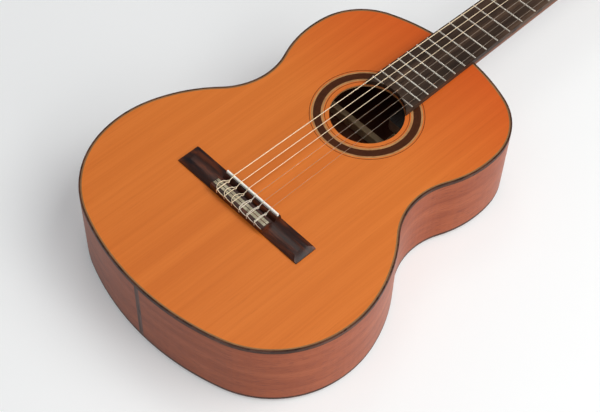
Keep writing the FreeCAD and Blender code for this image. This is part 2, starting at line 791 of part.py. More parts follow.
def make_worm_shaft(side, station):
    """Right-hand worm on its shaft, with a shoulder inside each lug; the button sits below."""
    foot = -lug_half_gap + 0.15
    depth = worm_outer_radius - worm_root_radius
    flank = (depth / 2) * math.tan(math.radians(20))
    crest = worm_pitch / 4 - mesh_backlash / 2 - flank
    base = crest + 2 * flank + 0.1
    section = [(worm_root_radius - 0.15, -base), (worm_outer_radius, -crest), (worm_outer_radius, crest),
               (worm_root_radius - 0.15, base)]
    rings = []
    steps = round(2 * worm_half_length / worm_pitch * worm_steps_per_turn) + 2
    for step in range(-steps // 2, steps // 2 + 1):
        turn = step / worm_steps_per_turn
        angle = 2 * math.pi * turn - math.pi / 2
        across = Vector(math.cos(angle), math.sin(angle), 0)
        corners = [across * r + Vector(0, 0, z + turn * worm_pitch) for r, z in section]
        rings.append(Part.makePolygon(corners + corners[:1]))
    thread = Part.makeLoft(rings, True, True)
    ends = Part.makeCylinder(worm_outer_radius + 1, 2 * worm_half_length, Vector(0, 0, -worm_half_length))
    thread = thread.common(ends)
    core = Part.makeCylinder(worm_root_radius, 2 * lug_half_gap - 0.3, Vector(0, 0, foot))
    shaft_top = lug_half_gap + lug_thickness + 0.8
    journal = Part.makeCylinder(journal_radius, shaft_top + shaft_reach, Vector(0, 0, -shaft_reach))
    shaft = core.fuse(journal)
    for z in (foot, -foot - 0.45):
        shaft = shaft.fuse(Part.makeCylinder(worm_root_radius + 0.7, 0.45, Vector(0, 0, z)))
    shaft = shaft.fuse(thread).removeSplitter()
    shaft.translate(Vector(side * drive_x, station + worm_offset, -roller_depth))
    return in_head(shaft)


def oval_wire(half_width, half_height):
    """Lying oval in the YZ plane: a tight arc at each side, a wide one above and below."""
    side_radius = 0.62 * half_height
    side_centre = half_width - side_radius
    rise = half_height - side_radius
    drop = (side_centre ** 2 - rise ** 2) / (2 * rise)
    angle = math.atan2(drop, side_centre)
    y, z = side_centre + side_radius * math.cos(angle), side_radius * math.sin(angle)
    joints = [(y, -z), (y, z), (-y, z), (-y, -z), (y, -z)]
    middles = [(half_width, 0), (0, half_height), (-half_width, 0), (0, -half_height)]
    arcs = []
    for start, top, end in zip(joints, middles, joints[1:]):
        arcs.append(Part.Arc(Vector(0, *start), Vector(0, *top), Vector(0, *end)).toShape())
    return Part.Wire(arcs)


def make_button(side, station):
    """Oval grip with a collar, pressed on the lower end of the worm shaft."""
    collar = Part.makeCone(3.6, 2.8, 4, Vector(0, 0, -button_top - 4))
    slices = []
    for x, inset in ((-1, 1.6), (-0.55, 0), (0.55, 0), (1, 1.6)):
        oval = oval_wire(button_half_width - inset, button_height / 2 - inset)
        oval.translate(Vector(x * button_half_thickness, 0, -button_top - 4 - button_height / 2 + 0.8))
        slices.append(oval)
    button = Part.makeLoft(slices, True, True).fuse(collar)
    bore = Part.makeCylinder(journal_radius, shaft_reach - button_top + 2, Vector(0, 0, -shaft_reach))
    button = button.cut(bore)
    button.translate(Vector(side * drive_x, station + worm_offset, -roller_depth))
    return in_head(button)


def gear_profile():
    """Corners of the gear's outline: straight-sided teeth, with a gap on the +Y axis."""
    tip, root = gear_pitch_radius + gear_addendum, gear_pitch_radius - gear_dedendum
    step = 2 * math.pi / gear_teeth
    corners = []
    for tooth in range(gear_teeth):
        middle = (tooth + 0.5) * step
        for radius, half in ((root, 0.125), (tip, 0.046)):
            corners.append((radius, middle - half))
        for radius, half in ((tip, 0.046), (root, 0.125)):
            corners.append((radius, middle + half))
    return corners


def make_gear(side, station):
    """Gear wheel with slanted teeth that follow the worm's lead, its hub and its fixing screw."""
    lead = math.atan(worm_pitch / (2 * math.pi * worm_pitch_radius))
    twist = gear_width / 2 * math.tan(lead) / gear_pitch_radius
    rings = []
    for x, turn in ((-gear_width / 2, -twist), (gear_width / 2, twist)):
        corners = [Vector(x, r * math.cos(a + turn), r * math.sin(a + turn)) for r, a in gear_profile()]
        rings.append(Part.makePolygon(corners + corners[:1]))
    wheel = Part.makeLoft(rings, True, True)
    hub_length = worm_stand_off - gear_width / 2 - 0.15
    hub_start = -gear_width / 2 - hub_length if side > 0 else gear_width / 2
    wheel = wheel.fuse(Part.makeCylinder(4.0, hub_length, Vector(hub_start, 0, 0), Vector(1, 0, 0)))
    wheel = wheel.cut(Part.makeCylinder(roller_shaft_radius - 0.3, 20, Vector(-10, 0, 0), Vector(1, 0, 0)))
    face = side * gear_width / 2
    screw = Part.makeCone(3.0, 2.2, 1.4, Vector(face, 0, 0), Vector(side, 0, 0))
    solids = []
    for solid in (wheel, screw):
        solid.translate(Vector(side * drive_x, station, -roller_depth))
        solids.append(in_head(solid))
    return solids


def rod(radius, x0, x1):
    return Part.makeCylinder(radius, x1 - x0, Vector(x0, 0, 0), Vector(1, 0, 0))


def make_roller(side, station):
    """String roller: a thick barrel across the slot and a thinner shaft out to the gear."""
    inner = bore_end_x + 0.3
    outer = head_half_width - 0.2
    neck_end = drive_x - worm_stand_off + 0.15
    tip = drive_x + gear_width / 2
    roller = rod(roller_radius, inner, outer)
    roller = roller.fuse(rod(roller_shaft_radius, outer, neck_end))
    roller = roller.fuse(rod(roller_shaft_radius - 0.3, neck_end, tip))
    hole = Part.makeCylinder(0.8, 2 * roller_radius + 2, Vector(string_hole_x, 0, -roller_radius - 1))
    roller = roller.cut(hole).removeSplitter()
    if side < 0:
        roller = roller.mirror(Vector(0, 0, 0), Vector(1, 0, 0))
    roller.translate(Vector(0, station, -roller_depth))
    return in_head(roller)


# ---------------------------------------------------------------- write every piece
save("soundboard", make_soundboard())
save("rosette", *rosette())
save("top_purfling", purfling_ring())
save("top_binding", make_top_binding())
save("back_binding", make_back_binding())
save("rib_treble", make_rib(1))
save("rib_bass", make_rib(-1))
save("end_graft", make_end_graft())
save("back_plate", make_back_plate())
save("back_center_strip", *make_back_center_strip())
save("back_braces", *make_back_braces())
save("harmonic_bars", *make_harmonic_bars())
save("fan_braces", *make_fan_braces())
save("top_lining", *make_top_lining().Solids)
save("back_lining", *make_back_lining().Solids)
save("tail_block", tail_block_solid())
save("neck_block", neck_block_solid().cut(tenon_solid()))
save("neck", make_neck())
save("heel_cap", make_heel_cap())
save("fingerboard", make_fingerboard())
save("frets", *make_frets())
save("nut", make_nut())
save("bridge", make_bridge())
save("saddle", saddle_solid())
save("tie_block_strips", *tie_block_strips())
save("headstock", make_headstock())
save("headplate", make_headplate())
save("tuner_plate_treble", make_tuner_plate(1))
save("tuner_plate_bass", make_tuner_plate(-1))
save("plate_screws", *make_plate_screws())
for index, name in enumerate(string_names):
    save(name, make_string(index))
    side = -1 if index < 3 else 1
    station = roller_stations[min(index, 5 - index)]
    label = name.replace("string_", "")
    save("worm_shaft_" + label, make_worm_shaft(side, station))
    save("button_" + label, make_button(side, station))
    save("gear_" + label, *make_gear(side, station))
    save("roller_" + label, make_roller(side, station))
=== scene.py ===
import json
import math
import bmesh
import bpy
from mathutils import Matrix, Vector


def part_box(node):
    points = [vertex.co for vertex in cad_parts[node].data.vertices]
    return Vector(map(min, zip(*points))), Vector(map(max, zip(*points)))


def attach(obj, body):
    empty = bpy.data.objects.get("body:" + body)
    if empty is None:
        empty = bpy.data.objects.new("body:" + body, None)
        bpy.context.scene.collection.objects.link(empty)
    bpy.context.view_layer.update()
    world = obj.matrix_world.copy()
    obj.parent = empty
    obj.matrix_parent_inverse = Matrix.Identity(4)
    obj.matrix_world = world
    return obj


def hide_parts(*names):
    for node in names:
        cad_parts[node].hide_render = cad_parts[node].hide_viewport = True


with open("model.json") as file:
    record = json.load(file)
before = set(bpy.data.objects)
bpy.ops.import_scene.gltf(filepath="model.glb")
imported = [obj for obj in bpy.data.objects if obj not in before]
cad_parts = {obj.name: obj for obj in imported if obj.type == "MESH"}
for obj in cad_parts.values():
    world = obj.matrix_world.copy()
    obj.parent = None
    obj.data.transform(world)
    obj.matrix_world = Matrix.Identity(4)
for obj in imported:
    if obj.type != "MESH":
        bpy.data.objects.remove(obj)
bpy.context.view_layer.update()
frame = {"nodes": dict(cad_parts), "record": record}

mm = 0.001
record = frame["record"]
bodyOf = {node: body for body, nodes in record["behaviour"]["bodies"].items() for node in nodes}
slotOf = {part["node"]: part["material_slot"] for part in record["subparts"]}
scene = bpy.context.scene
stringLabels = ["e_low", "a", "d", "g", "b", "e_high"]  # bass side to treble side


# small helpers for shader trees
def startMaterial(name):
    material = bpy.data.materials.new(name)
    material.use_nodes = True
    tree = material.node_tree
    shader = tree.nodes["Principled BSDF"]
    return material, tree, shader


def addNode(tree, kind, inputs=None, **settings):
    node = tree.nodes.new(kind)
    for key, value in settings.items():
        setattr(node, key, value)
    for key, value in (inputs or {}).items():
        node.inputs[key].default_value = value
    return node


def wire(tree, fromSocket, toSocket):
    tree.links.new(fromSocket, toSocket)
    return toSocket


def stretchedNoise(tree, coords, stretch, detail=4.0, roughness=0.55, distortion=0.0, offset=(0, 0, 0)):
    mapping = addNode(tree, "ShaderNodeMapping", {"Scale": stretch, "Location": offset})
    wire(tree, coords, mapping.inputs["Vector"])
    noise = addNode(tree, "ShaderNodeTexNoise",
                    {"Scale": 1.0, "Detail": detail, "Roughness": roughness, "Distortion": distortion})
    wire(tree, mapping.outputs["Vector"], noise.inputs["Vector"])
    return noise.outputs["Fac"]


def ramp(tree, factor, stops, smooth=False):
    node = addNode(tree, "ShaderNodeValToRGB")
    node.color_ramp.interpolation = "EASE" if smooth else "LINEAR"
    points = node.color_ramp.elements
    while len(points) < len(stops):
        points.new(0.5)
    for point, (place, color) in zip(points, stops):
        point.position = place
        point.color = (*color, 1) if len(color) == 3 else color
    wire(tree, factor, node.inputs["Fac"])
    return node.outputs["Color"]


def mixColor(tree, factor, a, b, blend="MIX"):
    node = addNode(tree, "ShaderNodeMix", data_type="RGBA", blend_type=blend)
    for socket, value in ((node.inputs["Factor"], factor), (node.inputs[6], a), (node.inputs[7], b)):
        if hasattr(value, "is_output"):
            wire(tree, value, socket)
        elif isinstance(value, (int, float)):
            socket.default_value = value
        else:
            socket.default_value = (*value, 1)
    return node.outputs[2]


def mathNode(tree, operation, a, b=None):
    node = addNode(tree, "ShaderNodeMath", operation=operation)
    for socket, value in zip(node.inputs, (a, b)):
        if value is None:
            continue
        if hasattr(value, "is_output"):
            wire(tree, value, socket)
        else:
            socket.default_value = value
    return node.outputs["Value"]


def bump(tree, shader, height, strength, distance):
    node = addNode(tree, "ShaderNodeBump", {"Strength": strength, "Distance": distance})
    wire(tree, height, node.inputs["Height"])
    wire(tree, node.outputs["Normal"], shader.inputs["Normal"])


# woods
def woodFinish(name, look):
    material, tree, shader = startMaterial(name)
    coords = addNode(tree, "ShaderNodeTexCoord").outputs["Object"]
    if look.get("bookmatched"):
        parts = addNode(tree, "ShaderNodeSeparateXYZ")
        wire(tree, coords, parts.inputs["Vector"])
        joined = addNode(tree, "ShaderNodeCombineXYZ")
        wire(tree, mathNode(tree, "ABSOLUTE", parts.outputs["X"]), joined.inputs["X"])
        wire(tree, parts.outputs["Y"], joined.inputs["Y"])
        wire(tree, parts.outputs["Z"], joined.inputs["Z"])
        coords = joined.outputs["Vector"]
    fine = stretchedNoise(tree, coords, look["fineStretch"], 3.0, 0.6, look.get("wander", 0.0))
    broad = stretchedNoise(tree, coords, look["broadStretch"], 3.0, 0.5, 0.4, (3.1, 1.7, 0.4))
    patch = stretchedNoise(tree, coords, look["patchStretch"], 2.0, 0.5, 0.0, (7.3, 2.2, 5.0))
    pores = stretchedNoise(tree, coords, look["poreStretch"], 2.0, 0.5, 0.0, (1.9, 8.8, 3.3))
    dark, middle, light = look["colors"]
    color = ramp(tree, broad, [(0.28, dark), (0.5, middle), (0.72, light)])
    fineTone = ramp(tree, fine, [(0.3, look["fineTint"]), (0.62, (1, 1, 1))])
    color = mixColor(tree, look["fineAmount"], color, mixColor(tree, 1.0, color, fineTone, "MULTIPLY"))
    patchTone = ramp(tree, patch, [(0.3, look["patchTint"]), (0.7, (1, 1, 1))], True)
    color = mixColor(tree, look["patchAmount"], color, mixColor(tree, 1.0, color, patchTone, "MULTIPLY"))
    poreMask = ramp(tree, pores, [(look["poreEdge"], (1, 1, 1)), (look["poreEdge"] + 0.06, (0, 0, 0))])
    poreAmount = mathNode(tree, "MULTIPLY", poreMask, look["poreAmount"])
    color = mixColor(tree, poreAmount, color, look["poreColor"])
    if "neckwardTint" in look:  # the top turns darker and redder towards the neck end
        ends = addNode(tree, "ShaderNodeSeparateXYZ")
        wire(tree, coords, ends.inputs["Vector"])
        neckwardTint = look["neckwardTint"]
        deep = addNode(tree, "ShaderNodeMapRange", {"From Min": neckwardTint["start"], "From Max": neckwardTint["end"]})
        wire(tree, ends.outputs["Y"], deep.inputs["Value"])
        color = mixColor(tree, deep.outputs["Result"], color, mixColor(tree, 1.0, color, neckwardTint["tint"], "MULTIPLY"))
    if "inside" in look:  # bare wood on the face that looks into the box, its darkening painted shade
        facing = addNode(tree, "ShaderNodeSeparateXYZ")
        wire(tree, addNode(tree, "ShaderNodeNewGeometry").outputs["Normal"], facing.inputs["Vector"])
        upward = addNode(tree, "ShaderNodeMapRange", {"From Min": 0.3, "From Max": 0.6})
        wire(tree, facing.outputs["Z"], upward.inputs["Value"])
        color = mixColor(tree, upward.outputs["Result"], color, mixColor(tree, 1.0, color, look["inside"], "MULTIPLY"))
    if "endGrainAndShade" in look:  # bare end grain on the upright faces, darkened further as painted shade
        facing = addNode(tree, "ShaderNodeSeparateXYZ")
        wire(tree, addNode(tree, "ShaderNodeNewGeometry").outputs["Normal"], facing.inputs["Vector"])
        upright = addNode(tree, "ShaderNodeMapRange", {"From Min": 0.6, "From Max": 0.3})
        wire(tree, mathNode(tree, "ABSOLUTE", facing.outputs["Z"]), upright.inputs["Value"])
        color = mixColor(tree, upright.outputs["Result"], color, look["endGrainAndShade"])
    wire(tree, color, shader.inputs["Base Color"])
    rough = addNode(tree, "ShaderNodeMapRange",
                    {"To Min": look["roughness"] - 0.05, "To Max": look["roughness"] + 0.07})
    wire(tree, fine, rough.inputs["Value"])
    wire(tree, rough.outputs["Result"], shader.inputs["Roughness"])
    shader.inputs["Coat Weight"].default_value = look["lacquer"]
    shader.inputs["Coat Roughness"].default_value = look.get("lacquerRoughness", 0.22)
    shader.inputs["Specular IOR Level"].default_value = look.get("gloss", 0.18)
    bump(tree, shader, mathNode(tree, "ADD", fine, mathNode(tree, "MULTIPLY", pores, 1.5)), look["relief"], 0.0002)
    return material


cedarLook = {
    "colors": ((0.66, 0.170, 0.024), (0.70, 0.188, 0.028), (0.74, 0.208, 0.034)), "bookmatched": True,
    "fineStretch": (760, 3.0, 3.0), "fineTint": (0.88, 0.78, 0.66), "fineAmount": 0.40, "wander": 0.15,
    "broadStretch": (85, 1.2, 1.2), "patchStretch": (7, 3, 3), "patchTint": (0.94, 0.86, 0.80), "patchAmount": 0.4,
    "poreStretch": (900, 26, 26), "poreEdge": 0.30, "poreColor": (0.40, 0.09, 0.016), "poreAmount": 0.20,
    # the upright faces' colour is bare end grain with painted shade worked into it
    "neckwardTint": {"start": -0.19, "end": -0.02, "tint": (0.90, 0.55, 0.42)}, "endGrainAndShade": (0.30, 0.15, 0.06),
    "roughness": 0.42, "lacquer": 0.08, "lacquerRoughness": 0.30, "relief": 0.08}
mahoganySideLook = {
    "colors": ((0.315, 0.073, 0.026), (0.385, 0.095, 0.035), (0.45, 0.120, 0.047)), "gloss": 0.16,
    "fineStretch": (22, 22, 620), "fineTint": (0.78, 0.68, 0.62), "fineAmount": 0.5, "wander": 0.5,
    "broadStretch": (8, 8, 90), "patchStretch": (16, 16, 24), "patchTint": (0.88, 0.80, 0.76), "patchAmount": 0.5,
    "poreStretch": (90, 90, 1000), "poreEdge": 0.38, "poreColor": (0.17, 0.040, 0.020), "poreAmount": 0.5,
    "roughness": 0.40, "lacquer": 0.08, "lacquerRoughness": 0.22, "relief": 0.16}
# inside: the inner face of the back is darkened as painted shade on bare wood
mahoganyBackLook = dict(mahoganySideLook, fineStretch=(620, 9, 9), broadStretch=(60, 4, 4), poreStretch=(1100, 45, 45),
                        bookmatched=True, inside=(0.35, 0.55, 0.8))
neckLook = dict(mahoganyBackLook, colors=((0.145, 0.050, 0.024), (0.185, 0.066, 0.032), (0.23, 0.085, 0.042)),
                fineStretch=(500, 10, 500), broadStretch=(45, 4, 45), poreStretch=(900, 50, 900),
                bookmatched=False, roughness=0.42, lacquer=0.12)
insideLook = dict(neckLook, colors=((0.46, 0.28, 0.18), (0.58, 0.38, 0.25), (0.68, 0.47, 0.32)),
                  roughness=0.62, lacquer=0.0)
spruceLook = {
    "colors": ((0.60, 0.43, 0.24), (0.68, 0.51, 0.31), (0.76, 0.60, 0.39)),
    "fineStretch": (4, 600, 600), "fineTint": (0.78, 0.66, 0.5), "fineAmount": 0.5,
    "broadStretch": (3, 40, 40), "patchStretch": (8, 8, 8), "patchTint": (0.9, 0.86, 0.8), "patchAmount": 0.5,
    "poreStretch": (30, 900, 900), "poreEdge": 0.28, "poreColor": (0.35, 0.22, 0.1), "poreAmount": 0.3,
    "roughness": 0.65, "lacquer": 0.0, "relief": 0.15}
rosewoodLook = {
    "colors": ((0.026, 0.011, 0.008), (0.055, 0.022, 0.014), (0.105, 0.040, 0.023)), "gloss": 0.22,
    "fineStretch": (420, 9, 420), "fineTint": (0.5, 0.42, 0.4), "fineAmount": 0.7, "wander": 0.8,
    "broadStretch": (60, 3, 60), "patchStretch": (12, 12, 12), "patchTint": (0.7, 0.6, 0.58), "patchAmount": 0.6,
    "poreStretch": (900, 40, 900), "poreEdge": 0.36, "poreColor": (0.012, 0.006, 0.005), "poreAmount": 0.7,
    "roughness": 0.40, "lacquer": 0.08, "relief": 0.18}
bindingLook = dict(rosewoodLook, colors=((0.052, 0.022, 0.013), (0.100, 0.043, 0.027), (0.155, 0.070, 0.045)),
                   fineStretch=(90, 90, 500), broadStretch=(30, 30, 120), poreStretch=(160, 160, 900),
                   lacquer=0.05, roughness=0.42, gloss=0.12)
graftLook = dict(bindingLook, colors=((0.10, 0.055, 0.044), (0.17, 0.094, 0.076), (0.24, 0.138, 0.115)),
                 fineStretch=(700, 60, 9), broadStretch=(180, 30, 4), poreStretch=(900, 90, 40))
fingerboardLook = dict(rosewoodLook, colors=((0.030, 0.019, 0.012), (0.060, 0.037, 0.024), (0.112, 0.068, 0.044)),
                       fineStretch=(520, 14, 60), broadStretch=(90, 6, 20), poreStretch=(1000, 60, 60),
                       gloss=0.18, roughness=0.45, lacquer=0.0, relief=0.22)
bridgeLook = dict(rosewoodLook, colors=((0.008, 0.004, 0.006), (0.040, 0.010, 0.004), (0.150, 0.032, 0.007)),
                  fineStretch=(22, 420, 420), broadStretch=(22, 150, 150), poreStretch=(60, 900, 900), wander=2.2,
                  roughness=0.32, lacquer=0.22, lacquerRoughness=0.16, gloss=0.22)
mapleLook = dict(spruceLook, colors=((0.24, 0.125, 0.050), (0.30, 0.16, 0.064), (0.37, 0.20, 0.08)),
                 roughness=0.42, lacquer=0.04)


# inlaid rings round the soundhole, coloured by their distance from its middle
rosetteRings = {
    "tan": (0.48, 0.25, 0.10), "dark": (0.062, 0.018, 0.006), "line": (0.11, 0.032, 0.012),
    "edges": [0.0492, 0.0525, 0.0529, 0.0610, 0.0614, 0.0644], "seam": 0.00006}


def rosetteFinish():
    material, tree, shader = startMaterial("rosetteInlay")
    low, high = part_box("rosette")
    coords = addNode(tree, "ShaderNodeTexCoord").outputs["Object"]
    middle = (low + high) / 2
    centred = addNode(tree, "ShaderNodeMapping", {"Location": (-middle.x, -middle.y, 0), "Scale": (1, 1, 0)})
    wire(tree, coords, centred.inputs["Vector"])
    reach = addNode(tree, "ShaderNodeVectorMath", operation="LENGTH")
    wire(tree, centred.outputs["Vector"], reach.inputs[0])
    distance = reach.outputs["Value"]
    parts = addNode(tree, "ShaderNodeSeparateXYZ")
    wire(tree, centred.outputs["Vector"], parts.inputs["Vector"])
    angle = mathNode(tree, "ARCTAN2", parts.outputs["Y"], parts.outputs["X"])
    polar = addNode(tree, "ShaderNodeCombineXYZ")
    wire(tree, distance, polar.inputs["X"])
    wire(tree, mathNode(tree, "COSINE", angle), polar.inputs["Y"])
    wire(tree, mathNode(tree, "SINE", angle), polar.inputs["Z"])
    grain = stretchedNoise(tree, polar.outputs["Vector"], (1500, 5, 5), 4.0, 0.6)
    figure = stretchedNoise(tree, polar.outputs["Vector"], (260, 9, 9), 3.0, 0.6, 0.6)
    tan, dark, line, seam = (rosetteRings[key] for key in ("tan", "dark", "line", "seam"))
    color = line
    for edge, ringColor in zip(rosetteRings["edges"], (tan, line, dark, line, tan, line)):
        step = addNode(tree, "ShaderNodeMapRange", {"From Min": edge - seam, "From Max": edge + seam})
        wire(tree, distance, step.inputs["Value"])
        color = mixColor(tree, step.outputs["Result"], color, ringColor)
    tone = ramp(tree, grain, [(0.3, (0.62, 0.56, 0.5)), (0.65, (1.15, 1.15, 1.15))])
    color = mixColor(tree, 0.55, color, mixColor(tree, 1.0, color, tone, "MULTIPLY"))
    tone = ramp(tree, figure, [(0.35, (0.7, 0.62, 0.58)), (0.65, (1.2, 1.15, 1.1))])
    color = mixColor(tree, 0.5, color, mixColor(tree, 1.0, color, tone, "MULTIPLY"))
    wire(tree, color, shader.inputs["Base Color"])
    shader.inputs["Roughness"].default_value = 0.4
    shader.inputs["Specular IOR Level"].default_value = 0.10
    shader.inputs["Coat Weight"].default_value = 0.02
    shader.inputs["Coat Roughness"].default_value = 0.3
    return material


# metals, bone, plastics
def metalFinish(name, look):
    material, tree, shader = startMaterial(name)
    coords = addNode(tree, "ShaderNodeTexCoord").outputs["Object"]
    marks = stretchedNoise(tree, coords, look["markStretch"], 5.0, 0.6)
    haze = stretchedNoise(tree, coords, (90, 90, 90), 3.0, 0.6, 0.0, (4.4, 0.3, 9.1))
    color = ramp(tree, haze, [(0.3, look["dull"]), (0.7, look["bright"])])
    wire(tree, color, shader.inputs["Base Color"])
    rough = addNode(tree, "ShaderNodeMapRange",
                    {"To Min": look["roughness"] - 0.06, "To Max": look["roughness"] + 0.10})
    wire(tree, marks, rough.inputs["Value"])
    wire(tree, rough.outputs["Result"], shader.inputs["Roughness"])
    shader.inputs["Metallic"].default_value = 1.0
    bump(tree, shader, marks, look["relief"], 0.0001)
    return material


fretLook = {"dull": (0.80, 0.74, 0.63), "bright": (0.97, 0.92, 0.81), "markStretch": (30, 1500, 1500),
            "roughness": 0.24, "relief": 0.06}
machineLook = {"dull": (0.62, 0.59, 0.53), "bright": (0.83, 0.81, 0.75), "markStretch": (700, 60, 700),
               "roughness": 0.20, "relief": 0.05}
brassLook = {"dull": (0.52, 0.34, 0.13), "bright": (0.80, 0.58, 0.26), "markStretch": (900, 900, 900),
             "roughness": 0.28, "relief": 0.08}


def paleFinish(name, look):
    material, tree, shader = startMaterial(name)
    coords = addNode(tree, "ShaderNodeTexCoord").outputs["Object"]
    cloud = stretchedNoise(tree, coords, look["cloudStretch"], 5.0, 0.6, look.get("swirl", 0.3))
    color = ramp(tree, cloud, [(0.3, look["shade"]), (0.5, look["color"]), (0.7, look["light"])])
    wire(tree, color, shader.inputs["Base Color"])
    shader.inputs["Roughness"].default_value = look["roughness"]
    shader.inputs["Subsurface Weight"].default_value = look["soft"]
    shader.inputs["Subsurface Radius"].default_value = (0.0012, 0.0009, 0.0006)
    shader.inputs["Coat Weight"].default_value = look["polish"]
    shader.inputs["Coat Roughness"].default_value = 0.12
    bump(tree, shader, cloud, 0.04, 0.0001)
    return material


boneLook = {"shade": (0.92, 0.89, 0.78), "color": (0.96, 0.94, 0.85), "light": (0.98, 0.97, 0.91),
            "cloudStretch": (60, 400, 400), "roughness": 0.35, "soft": 0.15, "polish": 0.3}
stripLook = {"shade": (0.12, 0.09, 0.05), "color": (0.36, 0.31, 0.20), "light": (0.50, 0.45, 0.31),
             "cloudStretch": (520, 60, 60), "roughness": 0.4, "soft": 0.05, "polish": 0.2}
pearlLook = {"shade": (0.76, 0.74, 0.69), "color": (0.86, 0.84, 0.79), "light": (0.93, 0.92, 0.88),
             "cloudStretch": (190, 190, 190), "swirl": 2.0, "roughness": 0.22, "soft": 0.2, "polish": 0.8}
rollerLook = {"shade": (0.74, 0.72, 0.66), "color": (0.84, 0.82, 0.77), "light": (0.88, 0.87, 0.82),
              "cloudStretch": (200, 200, 200), "roughness": 0.4, "soft": 0.1, "polish": 0.2}
# the wound strings' colour in and on the winding, darker in the grooves as painted shade, and the clear strings' along
# the speaking length and where bent
windingLook = {"groove": (0.80, 0.63, 0.42), "crest": (1.0, 0.86, 0.63), "pitch": 0.00024, "roughness": 0.38}
# the clear strings' orange colours and gleam are a warm clear nylon pushed orange with painted light from the top
# beneath them
nylonLook = {"dull": (1.0, 0.76, 0.54), "bright": (1.0, 0.80, 0.60), "bent": (0.92, 0.83, 0.70),
             "cover": (0.28, 0.9), "clearness": (0.84, 0.25), "roughness": 0.35, "gleam": (1.0, 0.80, 0.60, 1)}


def woundFinish():
    material, tree, shader = startMaterial("woundString")
    along = addNode(tree, "ShaderNodeAttribute", attribute_name="alongString")
    perLength = 2 * math.pi / windingLook["pitch"]
    turns = mathNode(tree, "SINE", mathNode(tree, "MULTIPLY", along.outputs["Fac"], perLength))
    # the grooves between the turns are darker: painted shade
    color = ramp(tree, turns, [(0.0, windingLook["groove"]), (0.6, windingLook["crest"])])
    wire(tree, color, shader.inputs["Base Color"])
    shader.inputs["Metallic"].default_value = 0.6
    shader.inputs["Roughness"].default_value = windingLook["roughness"]
    bump(tree, shader, turns, 0.35, 0.00005)
    return material


def nylonFinish():
    # clear along the speaking length, paler where it is bent and knotted behind the saddle; the orange of its colour
    # and gleam is painted light, the top's colour seen through the nylon
    material, tree, shader = startMaterial("clearNylon")
    coords = addNode(tree, "ShaderNodeTexCoord").outputs["Object"]
    cloud = stretchedNoise(tree, coords, (300, 20, 300), 3.0, 0.5)
    color = ramp(tree, cloud, [(0.3, nylonLook["dull"]), (0.7, nylonLook["bright"])])
    parts = addNode(tree, "ShaderNodeSeparateXYZ")
    wire(tree, coords, parts.inputs["Vector"])
    low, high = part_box("saddle")
    bent = addNode(tree, "ShaderNodeMapRange", {"From Min": high.y, "From Max": low.y})
    wire(tree, parts.outputs["Y"], bent.inputs["Value"])
    color = mixColor(tree, bent.outputs["Result"], color, nylonLook["bent"])
    wire(tree, color, shader.inputs["Base Color"])
    for part, socket in (("cover", "Alpha"), ("clearness", "Transmission Weight")):
        straight, curled = nylonLook[part]
        change = addNode(tree, "ShaderNodeMapRange", {"To Min": straight, "To Max": curled})
        wire(tree, bent.outputs["Result"], change.inputs["Value"])
        wire(tree, change.outputs["Result"], shader.inputs[socket])
    shader.inputs["Roughness"].default_value = nylonLook["roughness"]
    shader.inputs["IOR"].default_value = 1.53
    shader.inputs["Specular Tint"].default_value = nylonLook["gleam"]
    return material


finishes = {
    "cedar": woodFinish("cedarTop", cedarLook),
    "rosette_wood": rosetteFinish(),
    "maple": woodFinish("mapleLine", mapleLook),
    "rosewood": woodFinish("rosewood", rosewoodLook),
    "bridge_rosewood": woodFinish("bridgeRosewood", bridgeLook),
    "fingerboard_rosewood": woodFinish("fingerboardRosewood", fingerboardLook),
    "mahogany": woodFinish("mahoganySides", mahoganySideLook),
    "neck_mahogany": woodFinish("neckMahogany", neckLook),
    "mahogany_inside": woodFinish("insideMahogany", insideLook),
    "spruce": woodFinish("bareSpruce", spruceLook),
    "bone": paleFinish("bone", boneLook),
    "fret_metal": metalFinish("fretMetal", fretLook),
    "wound_string": woundFinish(),
    "nylon_string": nylonFinish(),
    "machine_metal": metalFinish("machineMetal", machineLook),
    "gear_brass": metalFinish("gearBrass", brassLook),
    "roller_plastic": paleFinish("rollerWhite", rollerLook),
    "button_plastic": paleFinish("pearlButton", pearlLook)}
bindingWood = woodFinish("bindingRosewood", bindingLook)
graftWood = woodFinish("graftRosewood", graftLook)
backWood = woodFinish("mahoganyBack", mahoganyBackLook)
stripBone = paleFinish("agedBone", stripLook)
finishOf = {node: finishes[slotOf[node]] for node in slotOf}
finishOf.update({"top_binding": bindingWood, "back_binding": bindingWood, "end_graft": graftWood,
                 "back_plate": backWood, "tie_block_strips": stripBone})
print("finishes ready:", len(bpy.data.materials))


# pieces carried over from the frame: joined, edges eased, shaded smooth
def linkMesh(name, mesh):
    piece = bpy.data.objects.new(name, mesh)
    scene.collection.objects.link(piece)
    return piece


mergeDistance = 2e-6
creaseAngle = 32  # degrees; a sharper edge than this stays sharp
flatAngle = 0.3  # degrees; faces that meet flatter than this become one


def smoothMesh(mesh, angle=creaseAngle):
    mesh.shade_smooth()
    mesh.set_sharp_from_angle(angle=math.radians(angle))


def flattenPlanes(mesh):
    # faces whose neighbours all lie in their own plane are shaded flat, so long thin triangles leave no streaks
    shape = bmesh.new()
    shape.from_mesh(mesh)
    limit = math.cos(math.radians(0.25))
    sharp = math.cos(math.radians(creaseAngle))
    for face in shape.faces:
        flat = True
        for edge in face.edges:
            for other in edge.link_faces:
                if other is not face and sharp < face.normal.dot(other.normal) < limit:
                    flat = False
        face.smooth = not flat
    shape.to_mesh(mesh)
    shape.free()


def applied(piece):
    # the mesh with every modifier worked in
    bpy.context.view_layer.update()
    evaluated = piece.evaluated_get(bpy.context.evaluated_depsgraph_get())
    mesh = bpy.data.meshes.new_from_object(evaluated)
    piece.modifiers.clear()
    piece.data = mesh
    return mesh


def boxMesh(name, size):
    shape = bmesh.new()
    bmesh.ops.create_cube(shape, size=1.0, matrix=Matrix.Diagonal((*size, 1)))
    mesh = bpy.data.meshes.new(name)
    shape.to_mesh(mesh)
    shape.free()
    return mesh


